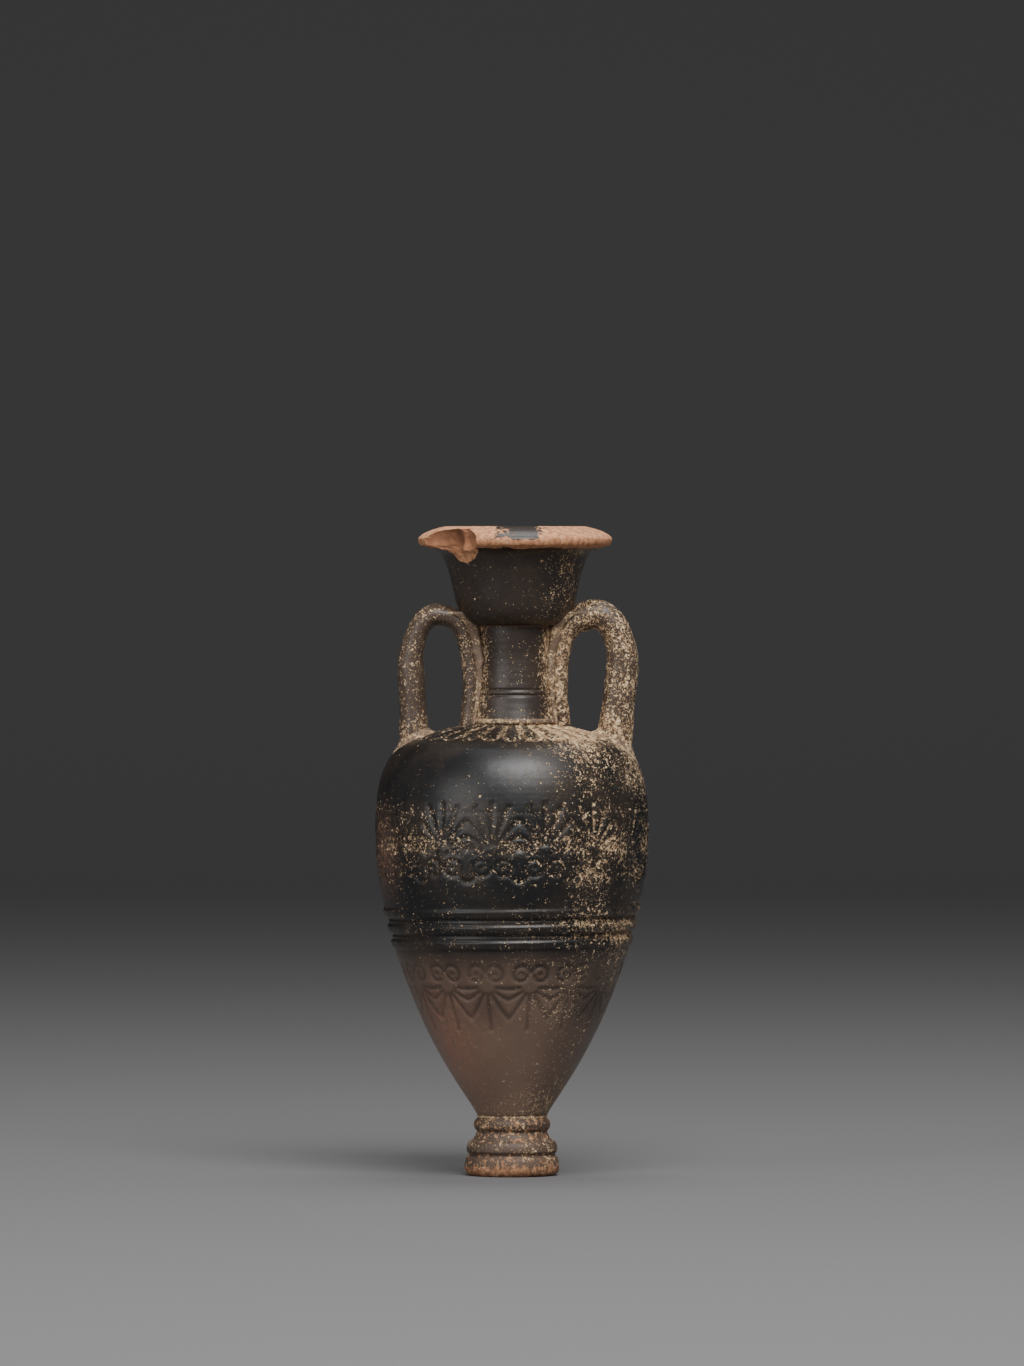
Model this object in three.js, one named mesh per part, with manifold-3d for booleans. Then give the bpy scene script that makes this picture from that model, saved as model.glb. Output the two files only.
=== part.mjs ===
// A small two-handled oil jar of fired clay, with a pointed belly on a stepped foot, a grooved neck and a
// flaring mouth with a broad lip. It is built up as a potter builds it: foot, belly, neck, mouth and handles
// are thrown or rolled by themselves, and joined leather-hard with soft clay, called luting clay here.
// Millimetres, +Z up. The origin is on the belly's axis, at the level of the resting face under the foot.
// The handles lie along X, and -Y is the front.

import * as THREE from "three";
import { mergeVertices } from "three/addons/utils/BufferGeometryUtils.js";
import Module from "manifold-3d";

const wasm = await Module();
wasm.setup();

// Joints
const LUTE = 0.5; // layer of luting clay in a turned joint
const CLEARANCE = 0.3; // between a cut piece and what it is cut to
const NECK_SHIFT = 0.9; // the neck was set this far to the right of the belly's axis

// Foot
const FOOT_RADIUS = 13.2;
const FOOT_REST_RADIUS = 11.3; // outer edge of the flat resting ring
const FOOT_EDGE_HEIGHT = 2.1; // rounded lower edge
const FOOT_HOLLOW_RADIUS = 6.5; // turned hollow underneath
const FOOT_HOLLOW_DEPTH = 2.2;
const FOOT_STEP_HEIGHT = 5.6; // lower step, to the groove
const FOOT_GROOVE = 0.6; // depth and half height of the groove between the steps
const FOOT_UPPER_RADIUS = 12.6;
const FOOT_UPPER_HEIGHT = 3.4;
const FOOT_COVE_HEIGHT = 3.2; // concave drop from the upper step to the foot's waist
const FOOT_WAIST_RADIUS = 9.8;
const FOOT_RING_HEIGHT = 2.9;
const FOOT_RING_PROUD = 0.9;
const FOOT_SEAT_RISE = 0.5; // from the ring up to the seat of the belly

// Tenon under the belly and its socket in the foot
const TENON_RADIUS = 5.4;
const TENON_END_RADIUS = 4.2;
const TENON_DEPTH = 2.4;

// Belly, from its seat on the foot upwards
const STEM_RADIUS = 9.7;
const LOWER_WALL_HEIGHT = 46.8;
const RIB_ZONE_LOW_RADIUS = 32.7;
const RIB_COUNT = 3;
const RIB_HEIGHT = 2.6;
const RIB_PROUD = 0.45;
const RIB_GROOVE_HEIGHT = 1.75;
const RIB_GROOVE_DEPTH = 0.35;
const RIB_ZONE_HIGH_RADIUS = 35.45;
const UPPER_WALL_HEIGHT = 19.9; // from the ribs up to the widest place
const BELLY_RADIUS = 38;
const SHOULDER_HEIGHT = 30.9; // from the widest place up to the seat of the neck
const SHOULDER_TOP_RADIUS = 12;
const BELLY_WALL = 3.6;
const CAVITY_FLOOR_HEIGHT = 10; // solid clay below the cavity
const CAVITY_FLOOR_ROUNDING = 8;
const STEM_FLARE = THREE.MathUtils.degToRad(27.5); // lean of the wall from upright, outwards
const RIB_ZONE_LEAN = THREE.MathUtils.degToRad(18.3);
const UPPER_WALL_LEAN = THREE.MathUtils.degToRad(13);
const SHOULDER_TOP_LEAN = THREE.MathUtils.degToRad(-78);

// Neck
const BORE_RADIUS = 5.8;
const NECK_BASE_RADIUS = 11.7;
const NECK_RADIUS = 9.45;
const NECK_TOP_RADIUS = 10.3;
const NECK_HEIGHT = 26.5;
const NECK_WAIST_HEIGHT = 17; // where the neck is narrowest
const NECK_GROOVE_HEIGHTS = [7.4, 8.9];
const NECK_GROOVE_DEPTH = 0.35;

// Mouth
const MOUTH_BASE_RADIUS = 11.9;
const MOUTH_BOWL_RADIUS = 16.3; // where the rounded base meets the straight flare
const MOUTH_BOWL_HEIGHT = 5.8;
const MOUTH_FLARE_RADIUS = 19.6; // under the lip
const MOUTH_FLARE_HEIGHT = 12.6;
const LIP_RADIUS = 27;
const LIP_UNDERSIDE_RISE = 3.4;
const LIP_UNDERSIDE_RADIUS = 26.1;
const LIP_EDGE_RISE = 1.8; // from the underside's corner up to the widest line
const LIP_TOP_RISE = 3.6; // from the widest line up to the rim
const LIP_INNER_RADIUS = 18.4;
const LIP_INNER_DROP = 2.6; // rounded inner edge of the rim
const MOUTH_WALL = 3;

// Spall broken out of the lip, front left
const SPALL_TURN = THREE.MathUtils.degToRad(-136);
const SPALL_LENGTH = 22;
const SPALL_HEIGHT = 7.6;
const SPALL_DEPTH = 4.2;

// Handles. Reaches are distances from the belly's axis, rises are heights above the seat of the neck.
const HANDLE_DEPTH = 8.4; // front to back
const HANDLE_NECK_DEPTH = 6.6; // front to back where it lies along the neck
const HANDLE_NECK_THICKNESS = 4.6;
const HANDLE_SPRING_RISE = 19; // where the straight parts turn into the arch
const HANDLE_ROOT_SPREAD = 1.12; // thickening at the shoulder, as a share
const HANDLE_ROOT_DEPTH = 8; // how far the line runs on below the sloping shoulder before it is cut
const LEFT_HANDLE = {
  side: -1,
  rootReach: 27,
  limbReach: 28,
  crownReach: 21,
  crownRise: 30.2,
  limbThickness: 7.5,
  archThickness: 6,
};
const RIGHT_HANDLE = {
  side: 1,
  rootReach: 28.2,
  limbReach: 30.6,
  crownReach: 23.6,
  crownRise: 30.3,
  limbThickness: 9,
  archThickness: 8.1,
};

// Luting clay at the handles
const ROOT_LUTE_HEIGHT = 4.2; // up the handle from the shoulder
const ROOT_LUTE_SPREAD = 3.2; // out over the shoulder
const NECK_LUTE_SEAM = 1; // distance between neck and handle, which the clay fills
const NECK_LUTE_OVERLAP = 1.6; // how far it is smeared over the neck beyond the handle's depth

// Fineness
const TURN_STEPS = 32;
const WALL_STEPS = 8;
const CAVITY_STEPS = 5; // the cavity needs fewer, and the ribs do not show inside
const CORNER_STEPS = 3;
const SECTION_STEPS = 12;
const ROUTE_STEPS = 20;

// Levels
const footCoveLevel = FOOT_STEP_HEIGHT + FOOT_GROOVE + FOOT_UPPER_HEIGHT;
const footRingLevel = footCoveLevel + FOOT_COVE_HEIGHT;
const footHeight = footRingLevel + FOOT_RING_HEIGHT + FOOT_SEAT_RISE;
const ribZoneHeight = RIB_COUNT * RIB_HEIGHT + (RIB_COUNT - 1) * RIB_GROOVE_HEIGHT;
const ribZoneTop = LOWER_WALL_HEIGHT + ribZoneHeight;
const widestHeight = ribZoneTop + UPPER_WALL_HEIGHT;
const bellyHeight = widestHeight + SHOULDER_HEIGHT;
const bellyLevel = footHeight + LUTE;
const shoulderLevel = bellyLevel + bellyHeight;
const neckLevel = shoulderLevel + LUTE;
const mouthLevel = neckLevel + NECK_HEIGHT + LUTE;
const lipCornerHeight = MOUTH_BOWL_HEIGHT + MOUTH_FLARE_HEIGHT + LIP_UNDERSIDE_RISE;
const lipEdgeHeight = lipCornerHeight + LIP_EDGE_RISE;
const mouthHeight = lipEdgeHeight + LIP_TOP_RISE;

const at = (radius, height) => new THREE.Vector2(radius, height);

// A wall that leaves one point and reaches another at given leans from upright. A pull says how long the
// curve keeps to its lean, as a share of the distance.
function wallCurve(start, startLean, startPull, end, endLean, endPull, steps = WALL_STEPS) {
  const span = start.distanceTo(end);
  const along = (lean, pull) => at(Math.sin(lean), Math.cos(lean)).multiplyScalar(span * pull);
  const leaving = start.clone().add(along(startLean, startPull));
  const reaching = end.clone().sub(along(endLean, endPull));
  return new THREE.CubicBezierCurve(start, leaving, reaching, end).getPoints(steps);
}

// A quarter ellipse from one point to another that bulges towards the corner given.
function roundedCorner(start, corner, end, steps = CORNER_STEPS) {
  const roundness = 0.552;
  const leaving = start.clone().lerp(corner, roundness);
  const reaching = end.clone().lerp(corner, roundness);
  return new THREE.CubicBezierCurve(start, leaving, reaching, end).getPoints(steps);
}

// Each point of an outline moved to the right-hand side of its direction of travel.
function movedOut(outline, distance) {
  return outline.map((point, i) => {
    const before = outline[Math.max(i - 1, 0)];
    const after = outline[Math.min(i + 1, outline.length - 1)];
    const travel = after.clone().sub(before).normalize();
    return at(point.x + travel.y * distance, point.y - travel.x * distance);
  });
}

// Drops points that fall on the one before them.
function withoutRepeats(outline) {
  return outline.filter((point, i) => i === 0 || point.distanceTo(outline[i - 1]) > 0.001);
}

// A turned solid around +Z, from an outline that goes up outside and comes down inside.
function turned(outline) {
  return new THREE.LatheGeometry(withoutRepeats(outline), TURN_STEPS).rotateX(Math.PI / 2);
}

function manifoldOf(geometry) {
  const bare = geometry.clone();
  bare.deleteAttribute("normal");
  bare.deleteAttribute("uv");
  const merged = mergeVertices(bare, 0.001);
  return new wasm.Manifold(
    new wasm.Mesh({
      numProp: 3,
      vertProperties: new Float32Array(merged.attributes.position.array),
      triVerts: new Uint32Array(merged.index.array),
    }),
  );
}

function geometryOf(manifold) {
  const mesh = manifold.getMesh();
  const geometry = new THREE.BufferGeometry();
  geometry.setAttribute("position", new THREE.BufferAttribute(mesh.vertProperties, 3));
  geometry.setIndex(new THREE.BufferAttribute(mesh.triVerts, 1));
  const faceted = geometry.toNonIndexed();
  faceted.computeVertexNormals();
  return faceted;
}

// The largest solid of what is left when the tools are cut away.
function cutAway(manifold, tools) {
  const left = tools.reduce((solid, tool) => solid.subtract(tool), manifold);
  const parts = left.decompose();
  return parts.reduce((best, part) => (part.volume() > best.volume() ? part : best));
}

// Outlines of the turned pieces, each from its own seat at height 0

// The joint between foot and belly: the tenon's face, grown by the layer of clay around it.
function tenonFace(layer) {
  return [
    at(0, -TENON_DEPTH - layer),
    at(TENON_END_RADIUS + layer, -TENON_DEPTH - layer),
    at(TENON_RADIUS + layer, -layer),
  ];
}

function footOutline() {
  const waist = at(FOOT_WAIST_RADIUS, footRingLevel);
  const ringMiddle = footRingLevel + FOOT_RING_HEIGHT / 2;
  const ringTop = footRingLevel + FOOT_RING_HEIGHT;
  const ringEdge = FOOT_WAIST_RADIUS + FOOT_RING_PROUD;
  const socket = tenonFace(LUTE).map((point) => at(point.x, point.y + footHeight + LUTE));
  return [
    at(0, FOOT_HOLLOW_DEPTH),
    at(FOOT_HOLLOW_RADIUS - FOOT_HOLLOW_DEPTH / 2, FOOT_HOLLOW_DEPTH),
    at(FOOT_HOLLOW_RADIUS, 0),
    ...roundedCorner(at(FOOT_REST_RADIUS, 0), at(FOOT_RADIUS, 0), at(FOOT_RADIUS, FOOT_EDGE_HEIGHT)),
    at(FOOT_RADIUS - FOOT_GROOVE / 3, FOOT_STEP_HEIGHT - FOOT_GROOVE * 2),
    at(FOOT_UPPER_RADIUS, FOOT_STEP_HEIGHT - FOOT_GROOVE),
    at(FOOT_UPPER_RADIUS - FOOT_GROOVE, FOOT_STEP_HEIGHT),
    at(FOOT_UPPER_RADIUS, FOOT_STEP_HEIGHT + FOOT_GROOVE),
    at(FOOT_UPPER_RADIUS, footCoveLevel - FOOT_GROOVE * 2),
    at(FOOT_UPPER_RADIUS - FOOT_GROOVE, footCoveLevel),
    ...roundedCorner(
      at(FOOT_UPPER_RADIUS - FOOT_GROOVE * 2, footCoveLevel),
      at(FOOT_WAIST_RADIUS, footCoveLevel + FOOT_GROOVE),
      waist,
    ),
    ...roundedCorner(waist, at(ringEdge, footRingLevel), at(ringEdge, ringMiddle)),
    ...roundedCorner(at(ringEdge, ringMiddle), at(ringEdge, ringTop), at(FOOT_WAIST_RADIUS, ringTop)),
    at(STEM_RADIUS, footHeight),
    ...socket.reverse(),
  ];
}

function footLuteOutline() {
  const seatEdge = STEM_RADIUS - LUTE;
  return [...tenonFace(LUTE), at(seatEdge, -LUTE), at(seatEdge, 0), ...tenonFace(0).reverse()];
}

// Ribs stand on a slanting wall. Each ends below in a sharp ledge over the groove under it.
function ribOutline() {
  const slope = (RIB_ZONE_HIGH_RADIUS - RIB_ZONE_LOW_RADIUS) / ribZoneHeight;
  const onWall = (height, proud) =>
    at(RIB_ZONE_LOW_RADIUS + slope * height + proud, LOWER_WALL_HEIGHT + height);
  const pitch = RIB_HEIGHT + RIB_GROOVE_HEIGHT;
  return Array.from({ length: RIB_COUNT }, (_, i) => i * pitch).flatMap((foot, i) => [
    onWall(foot, RIB_PROUD * 0.7),
    onWall(foot + RIB_HEIGHT * 0.35, RIB_PROUD),
    onWall(foot + RIB_HEIGHT * 0.75, RIB_PROUD * 0.7),
    onWall(foot + RIB_HEIGHT, 0),
    ...(i < RIB_COUNT - 1
      ? [onWall(foot + RIB_HEIGHT, -RIB_GROOVE_DEPTH / 2), onWall(foot + pitch, -RIB_GROOVE_DEPTH)]
      : []),
  ]);
}

const lowerWallCurve = (steps) =>
  wallCurve(
    at(STEM_RADIUS, 0),
    STEM_FLARE,
    0.17,
    at(RIB_ZONE_LOW_RADIUS, LOWER_WALL_HEIGHT),
    RIB_ZONE_LEAN,
    0.62,
    steps,
  );
const upperWallCurve = (steps) =>
  wallCurve(
    at(RIB_ZONE_HIGH_RADIUS, ribZoneTop),
    UPPER_WALL_LEAN,
    0.33,
    at(BELLY_RADIUS, widestHeight),
    0,
    0.35,
    steps,
  );
const shoulderWallCurve = (steps) =>
  wallCurve(
    at(BELLY_RADIUS, widestHeight),
    0,
    0.61,
    at(SHOULDER_TOP_RADIUS, bellyHeight),
    SHOULDER_TOP_LEAN,
    0.51,
    steps,
  );
const lowerWall = lowerWallCurve(WALL_STEPS);
const upperWall = upperWallCurve(CAVITY_STEPS);
const shoulderWall = shoulderWallCurve(WALL_STEPS + CORNER_STEPS);

// The cavity follows the wall at a constant thickness and ends below in a rounded floor.
function cavityOutline() {
  const outside = [
    ...lowerWallCurve(CAVITY_STEPS),
    ...upperWallCurve(CORNER_STEPS).slice(1),
    ...shoulderWallCurve(WALL_STEPS).slice(1),
  ];
  const wall = movedOut(outside, -BELLY_WALL);
  const rounded = wall
    .filter((point) => point.y > CAVITY_FLOOR_HEIGHT)
    .map((point) => {
      const drop = Math.max(1 - (point.y - CAVITY_FLOOR_HEIGHT) / CAVITY_FLOOR_ROUNDING, 0);
      return at(point.x * Math.sqrt(1 - drop * drop), point.y);
    });
  const top = rounded[rounded.length - 1].y;
  return [at(BORE_RADIUS, bellyHeight), at(BORE_RADIUS, top), ...rounded.reverse(), at(0, CAVITY_FLOOR_HEIGHT)];
}

function bellyOutline() {
  return [
    ...tenonFace(0),
    ...lowerWall,
    ...ribOutline(),
    ...upperWall,
    ...shoulderWall.slice(1),
    ...cavityOutline(),
  ];
}

// A flat ring of luting clay under a turned piece, as wide as the joint it fills.
function ringLuteOutline(radius) {
  return [
    at(BORE_RADIUS, -LUTE),
    at(radius - LUTE / 2, -LUTE),
    at(radius, -LUTE / 2),
    at(radius - LUTE / 2, 0),
    at(BORE_RADIUS, 0),
    at(BORE_RADIUS, -LUTE),
  ];
}

const neckWall = [
  ...wallCurve(
    at(NECK_BASE_RADIUS, 0),
    THREE.MathUtils.degToRad(-40),
    0.2,
    at(NECK_RADIUS, NECK_WAIST_HEIGHT),
    0,
    0.4,
    12,
  ),
  ...wallCurve(
    at(NECK_RADIUS, NECK_WAIST_HEIGHT),
    0,
    0.4,
    at(NECK_TOP_RADIUS, NECK_HEIGHT),
    THREE.MathUtils.degToRad(12),
    0.3,
    4,
  ).slice(1),
];

function neckOutline() {
  const grooved = neckWall.map((point) => {
    const inGroove = NECK_GROOVE_HEIGHTS.some((height) => Math.abs(point.y - height) < NECK_GROOVE_DEPTH);
    return inGroove ? at(point.x - NECK_GROOVE_DEPTH, point.y) : point;
  });
  return [...grooved, at(BORE_RADIUS, NECK_HEIGHT), at(BORE_RADIUS, 0), grooved[0]];
}

const mouthWall = [
  ...roundedCorner(
    at(MOUTH_BASE_RADIUS, 0),
    at(MOUTH_BOWL_RADIUS - MOUTH_WALL / 2, MOUTH_BOWL_HEIGHT / 3),
    at(MOUTH_BOWL_RADIUS, MOUTH_BOWL_HEIGHT),
  ),
  ...wallCurve(
    at(MOUTH_BOWL_RADIUS, MOUTH_BOWL_HEIGHT),
    THREE.MathUtils.degToRad(12),
    0.4,
    at(MOUTH_FLARE_RADIUS, MOUTH_BOWL_HEIGHT + MOUTH_FLARE_HEIGHT),
    THREE.MathUtils.degToRad(24),
    0.3,
    5,
  ).slice(1),
];

function mouthOutline() {
  const edge = at(LIP_RADIUS, lipEdgeHeight);
  const rim = at(LIP_INNER_RADIUS, mouthHeight);
  const innerEdge = at(LIP_INNER_RADIUS - LIP_INNER_DROP / 2, mouthHeight - LIP_INNER_DROP);
  return [
    ...mouthWall,
    ...roundedCorner(
      mouthWall[mouthWall.length - 1],
      at(MOUTH_FLARE_RADIUS + LIP_UNDERSIDE_RISE / 2, lipCornerHeight - LIP_UNDERSIDE_RISE / 3),
      at(LIP_UNDERSIDE_RADIUS, lipCornerHeight),
    ).slice(1),
    ...roundedCorner(at(LIP_UNDERSIDE_RADIUS, lipCornerHeight), at(LIP_RADIUS, lipCornerHeight), edge),
    ...roundedCorner(edge, at(LIP_RADIUS, mouthHeight - LIP_TOP_RISE / 3), rim),
    ...roundedCorner(rim, at(innerEdge.x, mouthHeight), innerEdge),
    ...wallCurve(
      innerEdge,
      THREE.MathUtils.degToRad(190),
      0.45,
      at(BORE_RADIUS, 0),
      THREE.MathUtils.degToRad(215),
      0.35,
      9,
    ),
    at(MOUTH_BASE_RADIUS, 0),
  ];
}

function spall() {
  const place = new THREE.Vector3(LIP_RADIUS, 0, lipCornerHeight);
  return new THREE.SphereGeometry(1, 20, 12)
    .scale(SPALL_DEPTH, SPALL_LENGTH / 2, SPALL_HEIGHT / 2)
    .translate(place.x, place.y, place.z)
    .rotateZ(SPALL_TURN);
}

// Solids that handles and their clay are cut with, in the jar's frame. Each stands one clearance outside
// the piece it keeps clear of.

function keepClearOf(outline, level, shift) {
  const outside = movedOut(outline, CLEARANCE);
  const first = outside[0];
  const last = outside[outside.length - 1];
  const closed = [at(0, first.y - CLEARANCE), at(first.x, first.y - CLEARANCE), ...outside, at(0, last.y)];
  return manifoldOf(turned(closed).translate(shift, 0, level));
}

const clearOfBelly = keepClearOf([...upperWall, ...shoulderWall.slice(1)], bellyLevel, 0);
const clearOfShoulderLute = keepClearOf(
  [at(NECK_BASE_RADIUS + LUTE / 2, -LUTE), at(NECK_BASE_RADIUS + LUTE / 2, LUTE / 2)],
  neckLevel,
  NECK_SHIFT,
);
const clearOfNeck = keepClearOf(neckWall, neckLevel, NECK_SHIFT);
const clearOfMouth = keepClearOf(mouthWall, mouthLevel, NECK_SHIFT);
const jar = [clearOfBelly, clearOfShoulderLute, clearOfNeck, clearOfMouth];

// Height of the shoulder above the part's base, at a distance from the belly's axis.
function shoulderHeightAt(reach) {
  const after = shoulderWall.findIndex((point) => point.x <= reach);
  const above = shoulderWall[after];
  const below = shoulderWall[Math.max(after - 1, 0)];
  const share = (below.x - reach) / Math.max(below.x - above.x, 0.001);
  return bellyLevel + THREE.MathUtils.lerp(below.y, above.y, share);
}

// The handle's line rises from the shoulder, arches over and comes down along the neck.
function handleRoute(handle) {
  const neckReach = NECK_RADIUS + handle.side * NECK_SHIFT + NECK_LUTE_SEAM + HANDLE_NECK_THICKNESS / 2;
  const springLevel = shoulderLevel + HANDLE_SPRING_RISE;
  const crownLevel = shoulderLevel + handle.crownRise;
  const haunchLevel = THREE.MathUtils.lerp(springLevel, crownLevel, 0.8);
  const lowLevel = shoulderLevel + HANDLE_SPRING_RISE / 3;
  const stations = [
    [handle.rootReach, shoulderHeightAt(handle.rootReach) - HANDLE_ROOT_DEPTH],
    [THREE.MathUtils.lerp(handle.rootReach, handle.limbReach, 0.6), lowLevel],
    [handle.limbReach, springLevel],
    [THREE.MathUtils.lerp(handle.limbReach, handle.crownReach, 0.45), haunchLevel],
    [handle.crownReach, crownLevel],
    [THREE.MathUtils.lerp(handle.crownReach, neckReach, 0.65), haunchLevel],
    [neckReach, springLevel],
    [neckReach - NECK_LUTE_SEAM / 2, lowLevel],
    [neckReach + NECK_LUTE_SEAM / 2, shoulderLevel],
  ];
  return new THREE.CatmullRomCurve3(
    stations.map(([reach, level]) => new THREE.Vector3(handle.side * reach, 0, level)),
    false,
    "centripetal",
  );
}

// Thickness in the handle's plane and depth across it, at a share of the route's length.
function handleSection(handle, share) {
  const ease = THREE.MathUtils.smoothstep;
  const arch = ease(share, 0.32, 0.5);
  const neck = ease(share, 0.62, 0.74);
  const root = 1 - ease(share, 0.1, 0.28);
  const limb = handle.limbThickness * THREE.MathUtils.lerp(1, HANDLE_ROOT_SPREAD, root);
  const free = THREE.MathUtils.lerp(limb, handle.archThickness, arch);
  return {
    thickness: THREE.MathUtils.lerp(free, HANDLE_NECK_THICKNESS, neck),
    depth: THREE.MathUtils.lerp(HANDLE_DEPTH, HANDLE_NECK_DEPTH, neck),
  };
}

// A closed solid through elliptical sections along a route in the XZ plane.
function lofted(route, sections) {
  const positions = [];
  const faces = [];
  sections.forEach(({ share, thickness, depth }) => {
    const centre = route.getPointAt(share);
    const travel = route.getTangentAt(share);
    for (let j = 0; j < SECTION_STEPS; j += 1) {
      const turn = (j / SECTION_STEPS) * 2 * Math.PI;
      const across = (Math.cos(turn) * thickness) / 2;
      positions.push(
        centre.x + travel.z * across,
        (Math.sin(turn) * depth) / 2,
        centre.z - travel.x * across,
      );
    }
  });
  const ring = (i, j) => i * SECTION_STEPS + (j % SECTION_STEPS);
  for (let i = 0; i < sections.length - 1; i += 1) {
    for (let j = 0; j < SECTION_STEPS; j += 1) {
      faces.push(ring(i, j), ring(i, j + 1), ring(i + 1, j + 1));
      faces.push(ring(i, j), ring(i + 1, j + 1), ring(i + 1, j));
    }
  }
  const last = sections.length - 1;
  for (let j = 1; j < SECTION_STEPS - 1; j += 1) {
    faces.push(ring(0, 0), ring(0, j + 1), ring(0, j));
    faces.push(ring(last, 0), ring(last, j), ring(last, j + 1));
  }
  const geometry = new THREE.BufferGeometry();
  geometry.setAttribute("position", new THREE.Float32BufferAttribute(positions, 3));
  geometry.setIndex(faces);
  return geometry;
}

function handleSolid(handle, growth = 0) {
  const sections = Array.from({ length: ROUTE_STEPS + 1 }, (_, i) => {
    const share = i / ROUTE_STEPS;
    const { thickness, depth } = handleSection(handle, share);
    return { share, thickness: thickness + 2 * growth, depth: depth + 2 * growth };
  });
  return manifoldOf(lofted(handleRoute(handle), sections));
}

function handleGeometry(handle) {
  return geometryOf(cutAway(handleSolid(handle), jar));
}

// A collar of luting clay around the handle's foot, spread out over the shoulder.
function rootLuteGeometry(handle) {
  const route = handleRoute(handle);
  const length = route.getLength();
  const steps = 6;
  const sections = Array.from({ length: steps + 1 }, (_, i) => {
    const share = (i / steps) * ((HANDLE_ROOT_DEPTH + ROOT_LUTE_HEIGHT) / length);
    const above = THREE.MathUtils.clamp((share * length) / HANDLE_ROOT_DEPTH - 0.35, 0, 1);
    const spread = CLEARANCE + LUTE + ROOT_LUTE_SPREAD * (1 - above) ** 2;
    const { thickness, depth } = handleSection(handle, share);
    return { share, thickness: thickness + 2 * spread, depth: depth + 2 * spread };
  });
  const collar = manifoldOf(lofted(route, sections));
  return geometryOf(cutAway(collar, [handleSolid(handle, CLEARANCE), ...jar]));
}

// Luting clay between the neck and the part of the handle that lies along it, smeared into the crease.
function neckLuteGeometry(handle) {
  const inner = NECK_RADIUS / 2;
  const outer = NECK_RADIUS + NECK_LUTE_SEAM + HANDLE_NECK_THICKNESS * 0.45;
  const wide = HANDLE_NECK_DEPTH / 2 + NECK_LUTE_OVERLAP;
  const narrow = HANDLE_NECK_DEPTH / 2 - CLEARANCE;
  const plan = new THREE.Shape([at(inner, -wide), at(outer, -narrow), at(outer, narrow), at(inner, wide)]);
  const height = HANDLE_SPRING_RISE + MOUTH_BASE_RADIUS - NECK_RADIUS;
  const wedge = new THREE.ExtrudeGeometry(plan, { depth: height, bevelEnabled: false });
  if (handle.side < 0) wedge.rotateZ(Math.PI);
  wedge.translate(NECK_SHIFT, 0, shoulderLevel);
  return geometryOf(cutAway(manifoldOf(wedge), [handleSolid(handle, CLEARANCE), ...jar]));
}

// Materials, one for each kind of surface on the real jar
const material = (color, roughness) => new THREE.MeshStandardMaterial({ color, roughness, metalness: 0 });
const blackGloss = material(0x24221f, 0.38);
const brownGloss = material(0x4a3a32, 0.5);
const wornClay = material(0xb78a63, 0.85);
const lutingClay = material(0xb08a5f, 0.9);

function piece(name, geometry, surface, level = 0, shift = 0) {
  const mesh = new THREE.Mesh(geometry, surface);
  mesh.name = name;
  mesh.position.set(shift, 0, level);
  return mesh;
}

const mouthGeometry = geometryOf(manifoldOf(turned(mouthOutline())).subtract(manifoldOf(spall())));

const base = new THREE.Group();
base.add(
  piece("foot", turned(footOutline()), wornClay),
  piece("foot_lute", turned(footLuteOutline()), lutingClay, bellyLevel),
  piece("belly", turned(bellyOutline()), brownGloss, bellyLevel),
);

const top = new THREE.Group();
top.position.set(NECK_SHIFT, 0, neckLevel);
top.add(
  piece("shoulder_lute", turned(ringLuteOutline(NECK_BASE_RADIUS + LUTE / 2)), lutingClay),
  piece("neck", turned(neckOutline()), blackGloss),
  piece("mouth_lute", turned(ringLuteOutline(NECK_TOP_RADIUS + LUTE)), lutingClay, NECK_HEIGHT + LUTE),
  piece("mouth", mouthGeometry, blackGloss, NECK_HEIGHT + LUTE),
);

const handles = new THREE.Group();
[
  ["left", LEFT_HANDLE],
  ["right", RIGHT_HANDLE],
].forEach(([name, handle]) => {
  handles.add(
    piece(`${name}_handle`, handleGeometry(handle), blackGloss),
    piece(`${name}_handle_shoulder_lute`, rootLuteGeometry(handle), lutingClay),
    piece(`${name}_handle_neck_lute`, neckLuteGeometry(handle), lutingClay),
  );
});

const amphoriskos = new THREE.Group();
amphoriskos.add(base, top, handles);

export default amphoriskos;
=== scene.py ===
import math

import bpy
import numpy as np
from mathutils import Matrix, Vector


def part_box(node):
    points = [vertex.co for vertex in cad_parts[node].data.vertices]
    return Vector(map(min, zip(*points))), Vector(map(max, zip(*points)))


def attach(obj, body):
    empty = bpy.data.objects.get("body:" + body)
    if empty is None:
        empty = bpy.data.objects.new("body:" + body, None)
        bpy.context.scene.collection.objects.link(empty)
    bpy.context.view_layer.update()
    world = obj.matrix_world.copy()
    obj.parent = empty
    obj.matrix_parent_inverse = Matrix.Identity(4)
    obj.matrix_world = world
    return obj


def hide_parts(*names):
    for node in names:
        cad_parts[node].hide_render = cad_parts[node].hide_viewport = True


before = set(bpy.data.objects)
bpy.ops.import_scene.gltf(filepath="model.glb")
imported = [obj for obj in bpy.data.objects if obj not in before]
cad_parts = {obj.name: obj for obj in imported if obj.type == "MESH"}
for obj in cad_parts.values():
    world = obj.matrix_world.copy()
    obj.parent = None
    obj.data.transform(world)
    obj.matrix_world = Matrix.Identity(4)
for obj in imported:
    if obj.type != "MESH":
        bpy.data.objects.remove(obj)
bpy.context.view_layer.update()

# Lengths are millimetres until a mesh is written, and angles are degrees where a name says so.
# An azimuth is measured from the front (-Y) towards the right-hand handle (+X).
# The floor, the lights and the camera are placed in metres.
MM = 0.001


def low(node):
    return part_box(node)[0].z / MM


def high(node):
    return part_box(node)[1].z / MM


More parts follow.
